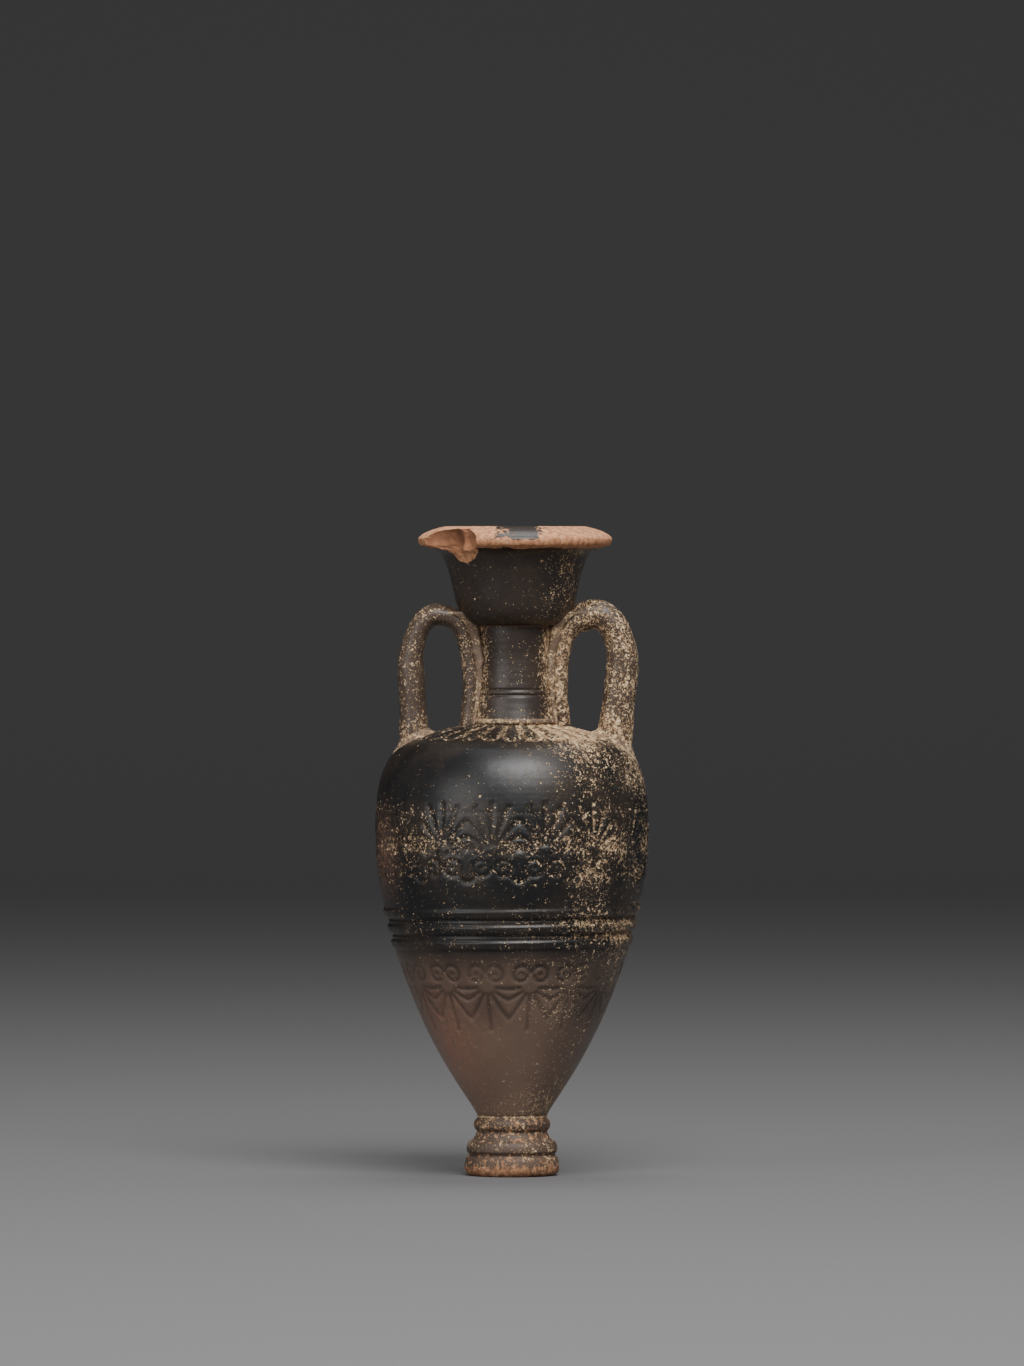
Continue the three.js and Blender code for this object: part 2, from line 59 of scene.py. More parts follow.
# Levels and offsets, from the frame
NECK_SHIFT = (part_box("neck")[0].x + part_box("neck")[1].x) / 2 / MM
BELLY_BASE = high("foot_lute")
SHOULDER_TOP = high("belly")
NECK_BASE = low("neck")
MOUTH_BASE = low("mouth")
RIM_LEVEL = high("mouth")

# Belly
STEM_RADIUS = 9.7
RIBS = 3
RIB_ZONE = (63.5, 74.8)
RIB_ZONE_RADII = (32.7, 35.45)
RIB_HEIGHT = 2.6
RIB_PITCH = 4.35
RIB_PROUD = 0.5
RIB_GROOVE_DEPTH = 0.4
RIB_LEDGE = 0.7
RIB_UNDERCUT = 0.25
RIB_TILT = 0.45
TILTED_ZONE = (58, 64, 75, 81)
FINE_LINE_LEVEL = 101.6
FINE_LINE_DEPTH = 0.2
WIDEST_LEVEL = 94.7
BELLY_RADIUS = 38
SHOULDER_TOP_RADIUS = 12
WALL = 3.6
BORE_RADIUS = 5.8

# Points round each mesh, along a handle, and round a ring's section
BELLY_AROUND = 380
FOOT_AROUND = 300
NECK_AROUND = 320
MOUTH_AROUND = 440
LUTE_AROUND = 220
LUTE_SECTION = 20
HANDLE_AROUND = 72
HANDLE_ALONG = 190
ROOT_LUTE_AROUND = 96
NECK_LUTE_AROUND = 48

# Rings of the belly's mesh, as low level, high level and the distance between rings
RING_SPACING = [
    (16, 38, 1.6),
    (38, 62, 0.46),
    (62, 76, 0.40),
    (76, 79, 0.9),
    (79, 106, 0.48),
    (117, 126, 0.6),
]
OTHER_RING_SPACING = 0.8

# Foot, from its hollow outwards and up. A moulding is its turning point, its end and its steps.
FOOT_HOLLOW = ((1.0, 2.2), (5.2, 2.2), (6.5, 0.25))
FOOT_REST_RADII = (7.2, 11.2)
FOOT_MOULDINGS = [
    ((13.2, 0), (13.2, 2.1), 8),
    ((13.2, 4.8), (12.6, 5.1), 6),
    ((11.9, 5.4), (12.0, 5.9), 5),
    ((12.1, 6.3), (12.6, 6.7), 4),
    ((12.8, 8.6), (11.9, 9.5), 7),
    ((10.2, 9.8), (9.8, 12.4), 9),
    ((10.7, 12.9), (10.7, 14.2), 5),
    ((10.7, 15.4), (9.85, 15.7), 5),
]
FOOT_TOP_RADIUS = 9.6
FOOT_SOCKET = 2.4

# Neck and mouth, with heights above their bases
NECK_BASE_RADIUS = 11.7
NECK_RADIUS = 9.45
NECK_TOP_RADIUS = 10.3
NECK_WAIST = 17
NECK_FLARE = 27
NECK_GROOVES = (7.4, 8.9)
NECK_GROOVE_WIDTH = 0.24
NECK_GROOVE_DEPTH = 0.42
LIP_RADIUS = 27
LIP_CORNER = 21.8
LIP_EDGE = 23.6

# Break in the lip: depth, half length and half height, and the half length and half height of the flake
SPALL_AZIMUTH = -46
SPALL_SIZE = (6.6, 10.5, 6.2)
FLAKE_ASIDE = 1
FLAKE_RISE = 20.5
FLAKE_SIZE = (7.5, 3.6)

# Handles. Heights are above the shoulder's top, distances are from the belly's axis, and soil is a share.
HANDLE_SPRING = 19
HANDLE_CROWN = 30.2
HANDLE_DEPTH = 8.4
NECK_LIMB_DEPTH = 6.8
NECK_LIMB_THICKNESS = 4.8
HANDLES = {
    "left": {
        "side": -1,
        "root": 27.0,
        "limb": 28.0,
        "crown": 21.0,
        "limb_thick": 7.5,
        "arch_thick": 6.0,
        "soil": 0.33,
        "root_soil": 0.36,
        "neck_soil": 0.5,
    },
    "right": {
        "side": 1,
        "root": 28.2,
        "limb": 30.6,
        "crown": 23.6,
        "limb_thick": 9.0,
        "arch_thick": 8.1,
        "soil": 0.45,
        "root_soil": 0.5,
        "neck_soil": 0.62,
    },
}

# Stamped ornament. A volute is how far it lies aside of its palmette and below its heart, and its radius.
STAMP_DEPTH = 0.8
STROKE = 0.52
PETAL_CURL = 0.03
PETAL_TIP = 0.8
VOLUTE_PULL = 0.12
VOLUTE_EYE = 0.7
UPPER_PALMETTES = 16
UPPER_FIRST_AZIMUTH = 14.3
UPPER_HEART = 89.5
UPPER_LEANS = (-58, -42, -27, -13, 0, 13, 27, 42, 58)
UPPER_REACH = 15.5
UPPER_VOLUTE = (3.1, 3.0, 2.2)
UPPER_ZONE = (78, 80, 104, 106)
ARCH_SIZES = (2.4, 4.0, 5.6)
ARCH_BASE = 0.5
LINK_DROP = 4.5
LINK_SIZE = 2.6
LOWER_PALMETTES = 15
LOWER_FIRST_AZIMUTH = 10
LOWER_HEART = 54.0
LOWER_LEANS = (-66, -44, -22, 0, 22, 44, 66)
LOWER_REACH = 13.5
LOWER_VOLUTE = (2.7, 2.9, 2.1)
LOWER_ZONE = (37, 40, 60, 62)
LOWER_DEPTH_SHARE = 0.75
TONGUES = 26
TONGUE_WIDTH_SHARE = 0.8
TONGUE_ENDS_RADIUS = 24.5
TONGUE_FADE = (28, 29)
TONGUE_DEPTH_SHARE = 0.6

# Shares of soil, and the levels between which some of them lie
SOIL_EVERYWHERE = 0.22
SOIL_ON_RIGHT = 0.11
SOIL_AT_BACK = 0.12
SOIL_IN_ZONE = 0.06
SOILED_ZONE = (77, 84, 103, 105)
SOIL_ON_SHOULDER = 0.13
SOIL_AT_NECK = 0.10
SOIL_ON_STEM = 0.14
SOIL_ON_RIBS = 0.05
CLEAN_ZONE = (103, 106, 117, 121)

# Colours, in sRGB from 0 to 255
TERRACOTTA = (204, 148, 106)
TERRACOTTA_DARK = (152, 100, 70)
TERRACOTTA_BRIGHT = (232, 193, 153)
FIRED_BROWN = (130, 106, 90)
FIRED_RED = (138, 98, 82)
# Bare clay of the broken lip, painted darker as shade in the break, in a deep and a pale tone
SHADED_BREAK_DARK = (112, 70, 46)
SHADED_BREAK_PALE = (160, 108, 76)
SOIL = (160, 126, 92)
SOIL_PALE = (216, 188, 148)
SOIL_FILM = (104, 88, 70)

# Sizes of the textures, as features in a metre
PATCH_SCALE = 60
GRAIN_SCALE = 700
SPECK_SCALE = 2000
FINE_SCALE = 3600

# Soil shows where its blotches pass a threshold, which the soil field lowers
SOIL_START = 0.70
SOIL_FULL = 0.735
SOIL_LOWERING = -0.40
BLOTCH_SPECK_SHARE = 0.66
BLOTCH_GRAIN_SHARE = 0.34
SOIL_ROUGHNESS = 0.9
FINE_RELIEF_STRENGTH = 0.75
FINE_RELIEF_METRES = 0.00028

# Camera
CAMERA_PLACE = (0, -3.0, 0.175)
CAMERA_DIP = 0.73
CAMERA_LENS = 284.6
SENSOR_HEIGHT = 36

# Lights, as place, size and power
LIGHTS = {
    "key": ((0.2, -0.95, 1.2), 1.0, 33),
    "fill": ((-1.3, -1.3, 0.5), 0.9, 10),
    "top": ((0.1, 0.3, 1.4), 0.8, 9),
}
LIGHTS_AIM = (0, 0, 0.1)

# Floor and surroundings, with scene-linear colours
FLOOR_COLOUR = (0.13, 0.127, 0.128, 1)
FLOOR_ROUGHNESS = 0.9
WORLD_COLOUR = (0.9, 0.92, 0.95, 1)
WORLD_STRENGTH = 0.22

rng = np.random.default_rng(7)
LATTICE = 64
LATTICE_OFFSET = 19.7
lattice_values = rng.random((LATTICE, LATTICE, LATTICE))


def noise(x, y, z, size):
    """Smooth value noise from -1 to 1, with features of about the size given."""
    at = np.stack(np.broadcast_arrays(x, y, z), axis=-1) / size + LATTICE_OFFSET
    cell = np.floor(at).astype(int)
    part = at - cell
    part = part * part * (3 - 2 * part)
    total = 0
    for offset in np.ndindex(2, 2, 2):
        index = (cell + offset) % LATTICE
        weight = np.prod(np.where(offset, part, 1 - part), axis=-1)
        total = total + weight * lattice_values[index[..., 0], index[..., 1], index[..., 2]]
    return 2 * total - 1


def smoothstep(value, start, end):
    share = np.clip((value - start) / (end - start), 0, 1)
    return share * share * (3 - 2 * share)


def within(value, start, full, fading, end):
    """Rises from 0 to 1 between the first two values, and falls back to 0 between the last two."""
    return smoothstep(value, start, full) * (1 - smoothstep(value, fading, end))


def bump(value, middle, width):
    return np.exp(-(((value - middle) / width) ** 2))


def full_turn(count):
    return np.linspace(0, 2 * math.pi, count, endpoint=False)[None, :]


# Outlines, as points of a radius and a level

ROUND_PULL = 0.552
SAME_POINT = 0.02
DENSE_STEPS = 6000


def bezier(start, leaving, reaching, end, steps):
    t = np.linspace(0, 1, steps + 1)[:, None]
    points = [np.array(point, float) for point in (start, leaving, reaching, end)]
    weights = ((1 - t) ** 3, 3 * t * (1 - t) ** 2, 3 * t * t * (1 - t), t**3)
    return sum(weight * point for weight, point in zip(weights, points))


def wall(start, start_lean, start_pull, end, end_lean, end_pull, steps):
    """A curve that leaves and reaches its ends at leans from upright, in degrees."""
    span = math.dist(start, end)

    def along(lean, pull):
        lean = math.radians(lean)
        return np.array((math.sin(lean), math.cos(lean))) * span * pull

    leaving = np.array(start) + along(start_lean, start_pull)
    reaching = np.array(end) - along(end_lean, end_pull)
    return bezier(start, leaving, reaching, end, steps)


def corner(start, turn, end, steps):
    start, turn, end = (np.array(point, float) for point in (start, turn, end))
    leaving, reaching = start + (turn - start) * ROUND_PULL, end + (turn - end) * ROUND_PULL
    return bezier(start, leaving, reaching, end, steps)


def mouldings(start, turns):
    """A run of rounded corners, one after the other."""
    made = []
    for turn, end, steps in turns:
        made.append(corner(start, turn, end, steps))
        start = end
    return np.vstack(made)


def outline(*stretches):
    points = np.vstack([np.atleast_2d(stretch) for stretch in stretches])
    apart = np.linalg.norm(np.diff(points, axis=0), axis=1) > SAME_POINT
    return points[np.concatenate(([True], apart))]


def lengths_along(points, power=1):
    """Distance of each point from the first, along the points."""
    return np.concatenate(([0], np.cumsum(np.linalg.norm(np.diff(points, axis=0), axis=1) ** power)))


def subdivided(points, step):
    """The same outline with extra points wherever two lie further apart than the step."""
    made = [points[:1]]
    for before, after in zip(points[:-1], points[1:]):
        count = max(1, math.ceil(math.dist(before, after) / step))
        made.append(before + (after - before) * (np.arange(1, count + 1) / count)[:, None])
    return np.vstack(made)


def spaced(points, bands, otherwise):
    """The same outline with points as far apart as each band of levels asks."""
    length = lengths_along(points)
    dense = np.linspace(0, length[-1], DENSE_STEPS)
    level = np.interp(dense, length, points[:, 1])
    spacing = np.full_like(dense, otherwise)
    for low_level, high_level, apart in bands:
        spacing[(level >= low_level) & (level < high_level)] = apart
    count = np.concatenate(([0], np.cumsum(np.diff(dense) / spacing[1:])))
    even = np.interp(np.linspace(0, count[-1], math.ceil(count[-1]) + 1), count, dense)
    return np.stack([np.interp(even, length, points[:, i]) for i in range(2)], axis=-1)


# Meshes


def grid_piece(name, points, fields, closed_ends, material, nodes):
    """A closed mesh through rings of points. Its ends are capped, or its last ring meets its first."""
    rings, around = points.shape[:2]
    vertices = points.reshape(-1, 3)
    index = np.arange(rings * around).reshape(rings, around)
    beside = np.roll(index, -1, axis=1)
    if closed_ends:
        lower, upper = slice(0, -1), slice(1, None)
        quads = np.stack((index[lower], beside[lower], beside[upper], index[upper]), axis=-1)
    else:
        above, above_beside = np.roll(index, -1, axis=0), np.roll(beside, -1, axis=0)
        quads = np.stack((index, beside, above_beside, above), axis=-1)
    faces = [tuple(face) for face in quads.reshape(-1, 4).tolist()]
    values = {key: np.broadcast_to(field, (rings, around)).reshape(-1) for key, field in fields.items()}
    if closed_ends:
        ends = (points[0].mean(axis=0), points[-1].mean(axis=0))
        first, last = len(vertices), len(vertices) + 1
        vertices = np.vstack((vertices, *ends))
        faces += [(first, b, a) for a, b in zip(index[0].tolist(), beside[0].tolist())]
        faces += [(last, a, b) for a, b in zip(index[-1].tolist(), beside[-1].tolist())]
        values = {key: np.append(field, (field[0], field[-1])) for key, field in values.items()}
    mesh = bpy.data.meshes.new(name)
    mesh.from_pydata((vertices * MM).tolist(), [], faces)
    for key, field in values.items():
        mesh.attributes.new(key, "FLOAT", "POINT").data.foreach_set("value", field.astype(np.float32))
    mesh.polygons.foreach_set("use_smooth", [True] * len(mesh.polygons))
    mesh.materials.append(material)
    mesh.update()
    piece = bpy.data.objects.new(name, mesh)
    bpy.context.scene.collection.objects.link(piece)
    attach(piece, "root")
    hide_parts(*nodes)


def turned_grid(profile, around, shift=0.0):
    """A turned surface: azimuths, radii, levels, places from its own axis, and what makes points of them."""
    azimuth = np.linspace(-math.pi, math.pi, around, endpoint=False)[None, :]
    radius = np.repeat(profile[:, :1], around, axis=1)
    level = np.repeat(profile[:, 1:], around, axis=1)

    def points(radius, level):
        return np.stack((radius * np.sin(azimuth) + shift, -radius * np.cos(azimuth), level), axis=-1)

    return azimuth, radius, level, radius * np.sin(azimuth), -radius * np.cos(azimuth), points


# Ornament, as a depth from 0 to 1 over the unrolled surface


def groove(distance, stroke=STROKE):
    return np.exp(-((distance / stroke) ** 2))


def petals(across, up, leans, reach, start):
    """Strokes that fan out from a heart. Their lengths fall off to the sides, and their tips curl out."""
    distance = np.hypot(across, up)
    lean = np.degrees(np.arctan2(across, up))
    made = np.zeros_like(distance)
    for petal in leans:
        length = reach * (0.5 + 0.5 * math.cos(math.radians(petal)))
        curl = petal * (1 + PETAL_CURL * distance)
        off = np.radians(lean - curl) * distance
        shown = within(distance, start, start + 1, length - PETAL_TIP, length)
        made = np.maximum(made, groove(off) * shown)
    return made


def volute(across, up, radius):
    distance = np.hypot(across, up)
    turn = np.arctan2(up, across)
    spiral = groove(distance - radius + VOLUTE_PULL * turn)
    return np.maximum(spiral, groove(distance, VOLUTE_EYE))


def wrapped(azimuth, count, first):
    """Angle from the nearest of the motifs that stand evenly round the jar."""
    pitch = 2 * math.pi / count
    return (azimuth - math.radians(first) + pitch / 2) % pitch - pitch / 2


def upper_band(azimuth, radius, level):
    """Upright palmettes on pairs of volutes, with arches between them."""
    turn = wrapped(azimuth, UPPER_PALMETTES, UPPER_FIRST_AZIMUTH)
    across, up = turn * radius, level - UPPER_HEART
    half = math.pi / UPPER_PALMETTES * BELLY_RADIUS
    between_hearts = half - np.abs(across)
    fan = petals(across, up, UPPER_LEANS, UPPER_REACH, 2.4) * smoothstep(up, 0.5, 2)
    aside, below, size = UPPER_VOLUTE
    rings = volute(np.abs(across) - aside, up + below, size)
    arches = np.zeros_like(fan)
    over_base = smoothstep(up, -0.8, 0.6)
    for arch in ARCH_SIZES:
        arches = np.maximum(arches, groove(np.hypot(between_hearts, up + ARCH_BASE) - arch) * over_base)
    link = groove(np.hypot(between_hearts, up + LINK_DROP) - LINK_SIZE) * (1 - smoothstep(up, -5.2, -4.0))
    return np.maximum.reduce((fan, rings, arches, link))


def lower_band(azimuth, radius, level):
    """Hanging palmettes under pairs of volutes."""
    turn = wrapped(azimuth, LOWER_PALMETTES, LOWER_FIRST_AZIMUTH)
    across, down = turn * radius, LOWER_HEART - level
    fan = petals(across, down, LOWER_LEANS, LOWER_REACH, 2.0)
    aside, above, size = LOWER_VOLUTE
    rings = volute(np.abs(across) - aside, down + above, size)
    return np.maximum(fan, rings)


def tongue_band(azimuth, radius):
    """Outlines of tongues that run out from the neck and end round."""
    across = wrapped(azimuth, TONGUES, 0) * radius
    half = math.pi / TONGUES * radius * TONGUE_WIDTH_SHARE
    sides = np.abs(np.abs(across) - half)
    ends = np.abs(np.hypot(across, radius - TONGUE_ENDS_RADIUS) - half)
    strokes = groove(np.where(radius < TONGUE_ENDS_RADIUS, sides, ends))
    return strokes * (1 - smoothstep(radius, *TONGUE_FADE))


def soil_cover(azimuth, level, x, y):
    """Soil from 0 to 1. The right-hand side is covered most, the upper left least."""
    side = np.degrees(azimuth)
    right = smoothstep(side, -8, 48) * (1 - 0.5 * smoothstep(side, 110, 170))
    back = smoothstep(np.abs(side), 100, 165)
    patches = 0.08 * noise(x, y, level, 9) * (0.5 + right) + 0.04 * noise(x, y, level, 3)
    cover = SOIL_EVERYWHERE + SOIL_ON_RIGHT * right + SOIL_AT_BACK * back + patches
    cover = cover + (SOIL_IN_ZONE - 0.04 * right) * within(level, *SOILED_ZONE)
    cover = cover + SOIL_ON_SHOULDER * right * smoothstep(level, 104, 110)
    cover = cover + SOIL_AT_NECK * smoothstep(level, 119, 124)
    cover = cover + SOIL_ON_STEM * (1 - smoothstep(level, 18, 34))
    cover = cover + (SOIL_ON_RIBS + 0.08 * right) * bump(level, 70, 6)
    clean = within(level, *CLEAN_ZONE) * (1 - right)
    return np.clip(cover - 0.03 * clean, 0.02, 0.9)


# Materials


def linear(color):
    """Scene-linear values of an sRGB colour given from 0 to 255."""
    shares = [channel / 255 for channel in color]
    return tuple(s / 12.92 if s <= 0.04045 else ((s + 0.055) / 1.055) ** 2.4 for s in shares)


def feed(links, socket, value):
    """Links a socket to another, or sets it to a number or a colour."""
    if isinstance(value, bpy.types.NodeSocket):
        links.new(value, socket)
    elif isinstance(value, (int, float)):
        socket.default_value = value
    else:
        socket.default_value = (*linear(value), 1)


def clay_material(
    name, gloss_roughness, gloss, gloss_warm, clay=TERRACOTTA, clay_dark=TERRACOTTA_DARK, soil=SOIL
):
    """Dark slip over clay. The mesh's fields say where soil lies, where bare clay shows, and where broken
    clay shows, painted darker as shade.
    """
    material = bpy.data.materials.new(name)
    material.use_nodes = True
    nodes, links = material.node_tree.nodes, material.node_tree.links
    shader = nodes["Principled BSDF"]
    place = nodes.new("ShaderNodeTexCoord").outputs["Object"]

    def textured(scale, detail, roughness=0.6, distortion=0.0):
        node = nodes.new("ShaderNodeTexNoise")
        node.inputs["Scale"].default_value = scale
        node.inputs["Detail"].default_value = detail
        node.inputs["Roughness"].default_value = roughness
        node.inputs["Distortion"].default_value = distortion
        links.new(place, node.inputs["Vector"])
        return node.outputs["Fac"]

    def field(key):
        node = nodes.new("ShaderNodeAttribute")
        node.attribute_name = key
        return node.outputs["Fac"]

    def calc(operation, *values):
        node = nodes.new("ShaderNodeMath")
        node.operation = operation
        node.use_clamp = operation == "MULTIPLY_ADD"
        for socket, value in zip(node.inputs, values):
            feed(links, socket, value)
        return node.outputs[0]

    def between(value, start, end):
        node = nodes.new("ShaderNodeMapRange")
        node.interpolation_type = "SMOOTHSTEP"
        links.new(value, node.inputs["Value"])
        feed(links, node.inputs["From Min"], start)
        feed(links, node.inputs["From Max"], end)
        return node.outputs["Result"]

    def mix(factor, first, second):
        node = nodes.new("ShaderNodeMix")
        node.data_type = "RGBA"
        for socket, value in ((node.inputs[0], factor), (node.inputs[6], first), (node.inputs[7], second)):
            feed(links, socket, value)
        return node.outputs[2]

    patch = textured(PATCH_SCALE, 6)
    grain = textured(GRAIN_SCALE, 8, 0.7)
    speck = textured(SPECK_SCALE, 4, 0.6, 0.5)
    fine = textured(FINE_SCALE, 3)

    dark = mix(between(patch, 0.38, 0.66), gloss, gloss_warm)
    dark = mix(calc("MULTIPLY", field("brown"), 0.85), dark, FIRED_BROWN)
    dark = mix(calc("MULTIPLY", field("red"), between(grain, 0.3, 0.62)), dark, FIRED_RED)
    bare_clay = mix(between(grain, 0.36, 0.64), clay_dark, clay)
    bare_clay = mix(between(speck, 0.60, 0.70), bare_clay, TERRACOTTA_BRIGHT)
    # Painted shade: broken clay takes darker tones than the bare clay
    shaded_broken_clay = mix(between(patch, 0.4, 0.6), SHADED_BREAK_DARK, SHADED_BREAK_PALE)
    bare_clay = mix(field("break_shade"), bare_clay, shaded_broken_clay)
    worn = calc("ADD", field("bare"), calc("MULTIPLY", calc("SUBTRACT", grain, 0.5), 1.6))
    surface = mix(between(worn, 0.42, 0.58), dark, bare_clay)

    lowered = calc("MULTIPLY", field("soil"), SOIL_LOWERING)
    start = calc("ADD", lowered, SOIL_START)
    end = calc("ADD", lowered, SOIL_FULL)
    specks = calc("MULTIPLY", speck, BLOTCH_SPECK_SHARE)
    blotches = calc("ADD", specks, calc("MULTIPLY", grain, BLOTCH_GRAIN_SHARE))
    soiled = between(blotches, start, end)
    film = calc("MULTIPLY", between(patch, 0.35, 0.7), calc("MULTIPLY", field("soil"), 0.4))
    surface = mix(film, surface, SOIL_FILM)
    earth = mix(between(grain, 0.44, 0.62), soil, SOIL_PALE)
    links.new(mix(soiled, surface, earth), shader.inputs["Base Color"])

    matt = calc("MAXIMUM", soiled, between(worn, 0.42, 0.58))
    rough = calc("MULTIPLY_ADD", matt, SOIL_ROUGHNESS - gloss_roughness, gloss_roughness)
    rough = calc("MULTIPLY_ADD", calc("SUBTRACT", grain, 0.5), 0.14, rough)
    links.new(rough, shader.inputs["Roughness"])

    height = calc("ADD", calc("MULTIPLY", soiled, 0.9), calc("MULTIPLY", grain, 0.22))
    height = calc("ADD", height, calc("MULTIPLY", fine, 0.16))
    relief = nodes.new("ShaderNodeBump")
    relief.inputs["Strength"].default_value = FINE_RELIEF_STRENGTH
    relief.inputs["Distance"].default_value = FINE_RELIEF_METRES
    links.new(height, relief.inputs["Height"])
    links.new(relief.outputs["Normal"], shader.inputs["Normal"])
    shader.inputs["Metallic"].default_value = 0.0
    shader.inputs["IOR"].default_value = 1.5
    return material


black_slip = clay_material("black_slip", 0.4, (9, 10, 12), (22, 16, 13))
handle_slip = clay_material("handle_slip", 0.42, (13, 12, 11), (34, 25, 19))
foot_slip = clay_material("foot_slip", 0.6, (34, 27, 22), (70, 50, 37), (170, 120, 84), (104, 70, 48))
lip_slip = clay_material("lip_slip", 0.4, (10, 10, 10), (26, 20, 15))
seam_clay = clay_material("seam_clay", 0.6, (10, 9, 9), (30, 18, 14), (130, 74, 52), (60, 36, 28))
lute_clay = clay_material(
    "lute_clay", 0.7, (64, 54, 44), (96, 78, 60), (150, 118, 86), (110, 84, 62), (158, 130, 98)
)


# Belly


def rib_relief(level):
    """Three ribs with a ledge under each. Height of the surface over the plain wall."""
    relief = np.zeros_like(level)
    for i in range(RIBS):
        foot = RIB_ZONE[0] + i * RIB_PITCH
        share = (level - foot) / RIB_HEIGHT
        rounded = np.sqrt(np.clip(1 - (2 * share - 1) ** 4, 0, 1))
        relief = np.where((share > 0) & (share < 1), RIB_PROUD * rounded, relief)
        gap = (level > foot - (RIB_PITCH - RIB_HEIGHT)) & (level <= foot) & (i > 0)
        relief = np.where(gap, -RIB_GROOVE_DEPTH * (0.5 + 0.5 * (foot - level < RIB_LEDGE)), relief)
        relief = relief - RIB_UNDERCUT * bump(level, foot - 0.15, 0.22)
    return relief


def shoulder_curve():
    return wall((BELLY_RADIUS, WIDEST_LEVEL), 0, 0.61, (SHOULDER_TOP_RADIUS, SHOULDER_TOP), -78, 0.51, 80)


def belly_outline():
    """The outside and the inside in one run, and how many of its points are outside."""
    rib_low, rib_high = RIB_ZONE
    widest = (BELLY_RADIUS, WIDEST_LEVEL)
    lower = wall((STEM_RADIUS, BELLY_BASE), 27.5, 0.17, (RIB_ZONE_RADII[0], rib_low), 18.3, 0.62, 60)
    ribs = np.stack((np.linspace(*RIB_ZONE_RADII, 46), np.linspace(rib_low, rib_high, 46)), axis=-1)
    upper = wall((RIB_ZONE_RADII[1], rib_high), 13, 0.33, widest, 0, 0.35, 30)
    outside = spaced(outline(lower, ribs, upper, shoulder_curve()), RING_SPACING, OTHER_RING_SPACING)
    hollow_top = (BORE_RADIUS + 1, SHOULDER_TOP - WALL)
    hollow_side = (BELLY_RADIUS - WALL, WIDEST_LEVEL)
    hollow_base = (3.0, BELLY_BASE + 10.3)
    inside = wall(hollow_top, 98, 0.5, hollow_side, 180, 0.6, 6)
    inside = outline(inside, wall(inside[-1], 180, 0.4, hollow_base, 235, 0.45, 7))
    stem = [(1.5, BELLY_BASE - 1.6), (STEM_RADIUS - 0.9, BELLY_BASE - 0.6)]
    bore = [(BORE_RADIUS, SHOULDER_TOP), (BORE_RADIUS, SHOULDER_TOP - WALL)]
    return outline(stem, outside, bore, inside), len(outside)


def make_belly():
    profile, outer_count = belly_outline()
    azimuth, radius, level, x, y, points = turned_grid(profile, BELLY_AROUND)
    rings = np.arange(len(profile))[:, None]
    outer = ((rings >= 2) & (rings < outer_count + 2)) * 1.0

    worn = 0.62 + 0.38 * noise(x, y, level, 11)
    upper = upper_band(azimuth, radius, level) * within(level, *UPPER_ZONE)
    lower = lower_band(azimuth, radius, level) * within(level, *LOWER_ZONE)
    tongues = tongue_band(azimuth, radius) * (level > WIDEST_LEVEL + 20)
    stamp = outer * (upper + LOWER_DEPTH_SHARE * lower + TONGUE_DEPTH_SHARE * tongues) * worn
    fine_line = outer * groove(level - FINE_LINE_LEVEL, 0.25) * 0.45
    ribs = outer * rib_relief(level)

    hand = 0.10 * noise(x, y, level, 16) + 0.05 * noise(x, y, level, 4) + 0.025 * noise(x, y, level, 1.4)
    turning = 0.02 * np.sin(level * 5.2 + 0.4 * np.sin(azimuth)) * (level > 60)
    cut = STAMP_DEPTH * stamp
    grown = radius + ribs - cut - FINE_LINE_DEPTH * fine_line + outer * (hand + turning)
    grown = np.where(level > SHOULDER_TOP - 6, np.minimum(grown, radius), grown)
    lifted = level + outer * within(level, *TILTED_ZONE) * RIB_TILT * np.sin(azimuth)
    sunk = outer * smoothstep(level, 112, 117) * STAMP_DEPTH * TONGUE_DEPTH_SHARE * tongues * worn

    side = np.degrees(azimuth)
    # Cut-in places: soil and bare clay gather there, and the fired brown is taken out there as painted shade
    hollow = np.clip(stamp + 0.8 * fine_line + 0.5 * (ribs < -0.1) + 0.6 * outer * tongues, 0, 1)
    held = 0.05 + 0.17 * smoothstep(level, 74, 78) + 0.08 * smoothstep(side, -10, 40)
    cover = soil_cover(azimuth, level, x, y) + held * hollow
    burnt = 0.50 + 0.5 * (1 - smoothstep(level, 28, 54)) + 0.16 * noise(x, y, level, 9)
    burnt = burnt * (1 - smoothstep(level, 56, 66)) * (1 - 0.25 * smoothstep(side, 10, 50))
    fields = {
        "soil": np.clip(cover, 0, 1) * np.where(outer > 0, 1, 0.6),
        "bare": 0.10 * hollow,
        # In the grooves the fired brown gives way to black: painted shade, and slip pooled in them
        "brown": burnt * (1 - 0.9 * hollow),
        "red": bump(side, -48, 24) * bump(level, 37, 13) + 0.6 * bump(side, -72, 12) * bump(level, 90, 10),
    }
    grid_piece("belly_skin", points(grown, lifted - sunk), fields, True, black_slip, ["belly"])


# Foot


